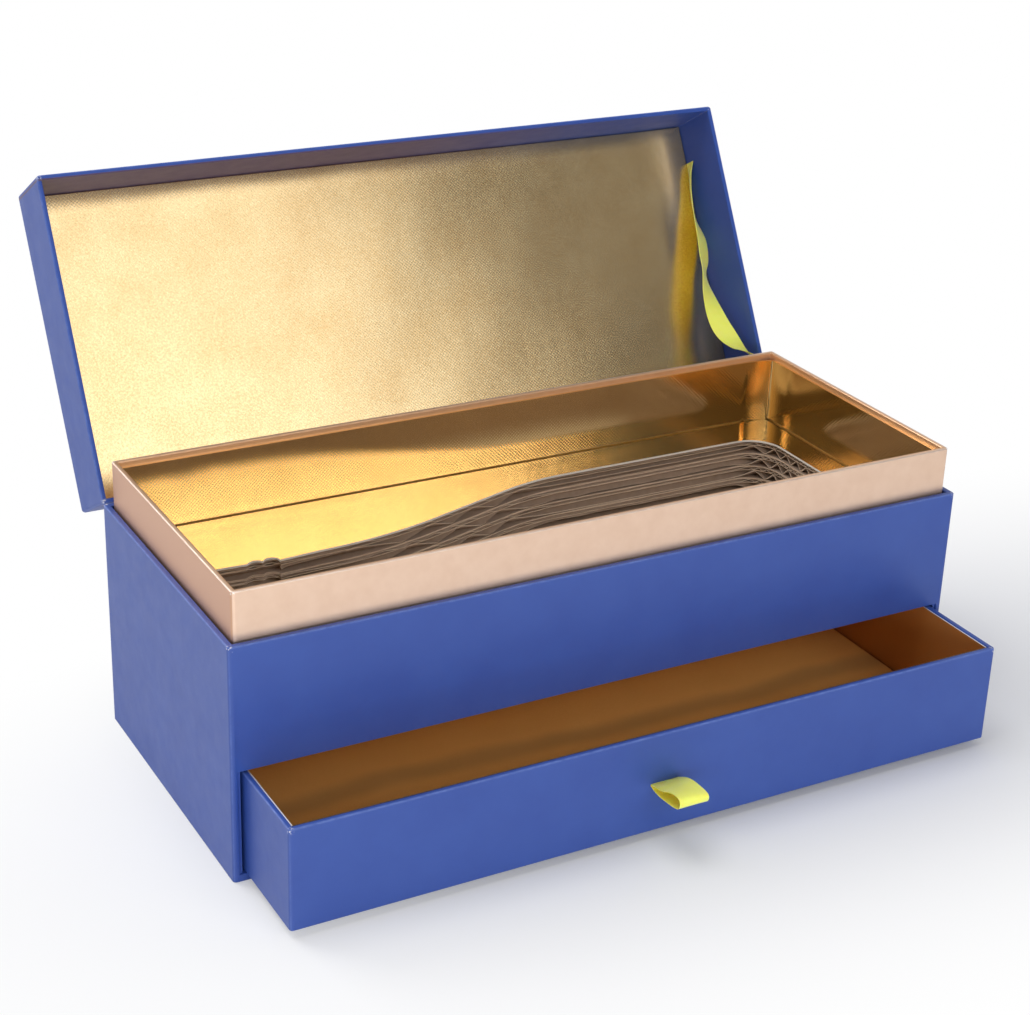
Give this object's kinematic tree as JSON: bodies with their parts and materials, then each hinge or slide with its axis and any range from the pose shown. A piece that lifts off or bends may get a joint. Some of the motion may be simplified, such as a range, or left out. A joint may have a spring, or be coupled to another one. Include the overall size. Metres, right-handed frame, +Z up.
{
  "type": "wine gift box",
  "caption": "Rigid gift box for a wine bottle lying on its side: hinged lid on a ribbon stay, collared well with a die-cut corrugated bed, and a pull-out drawer below.",
  "frame": {"origin": "middle of the foot of the case, on the surface it stands on", "axes": "+X to the right along the length, +Y to the back, +Z up; the drawer opens towards -Y"},
  "size_m": [0.36, 0.3235, 0.24],
  "materials": {
    "greyboard": "matte",
    "corrugated": "matte",
    "blue_paper": "satin",
    "rose_gold_paper": "satin",
    "gold_foil": "metallic",
    "copper_foil": "metallic",
    "ribbon": "satin"
  },
  "bodies": {
    "case": {"case_left_board": "greyboard", "case_right_board": "greyboard", "case_front_apron": "greyboard", "case_back_board": "greyboard", "case_bottom_board": "greyboard", "case_shelf_board": "greyboard", "case_foot_paper": "blue_paper", "case_wrap": "blue_paper", "bay_left_liner": "greyboard", "bay_right_liner": "greyboard", "bay_back_liner": "greyboard", "collar_left_board": "greyboard", "collar_right_board": "greyboard", "collar_front_board": "greyboard", "collar_back_board": "greyboard", "collar_wrap": "rose_gold_paper", "well_front_lining": "gold_foil", "well_back_lining": "gold_foil", "well_left_lining": "gold_foil", "well_right_lining": "gold_foil", "insert_card": "gold_foil", "bed_flutes_1": "corrugated", "bed_flutes_2": "corrugated", "bed_flutes_3": "corrugated", "bed_flutes_4": "corrugated", "bed_flutes_5": "corrugated", "bed_flutes_6": "corrugated", "bed_liners_1": "corrugated", "bed_liners_2": "corrugated", "bed_liners_3": "corrugated", "bed_liners_4": "corrugated", "bed_liners_5": "corrugated", "bed_liners_6": "corrugated", "hinge_strip": "blue_paper", "lid_stay_ribbon": "ribbon"},
    "lid": {"lid_left_board": "greyboard", "lid_right_board": "greyboard", "lid_front_board": "greyboard", "lid_back_board": "greyboard", "lid_top_board": "greyboard", "lid_wrap": "blue_paper", "lid_pad": "gold_foil"},
    "drawer": {"drawer_left_board": "greyboard", "drawer_right_board": "greyboard", "drawer_front_board": "greyboard", "drawer_back_board": "greyboard", "drawer_bottom_board": "greyboard", "drawer_wrap": "blue_paper", "drawer_front_lining": "copper_foil", "drawer_back_lining": "copper_foil", "drawer_left_lining": "copper_foil", "drawer_right_lining": "copper_foil", "drawer_floor_pad": "copper_foil", "drawer_pull": "ribbon"}
  },
  "joints": [
    {"name": "lid_hinge", "type": "hinge", "parent": "case", "child": "lid", "pos_m": [0, 0.075, 0.109], "axis": [1, 0, 0], "range_deg": [0, 119], "deforming": ["lid_stay_ribbon", "hinge_strip"]},
    {"name": "drawer_slide", "type": "slide", "parent": "case", "child": "drawer", "axis": [0, -1, 0], "range_m": [-0.046, 0.085]}
  ]
}
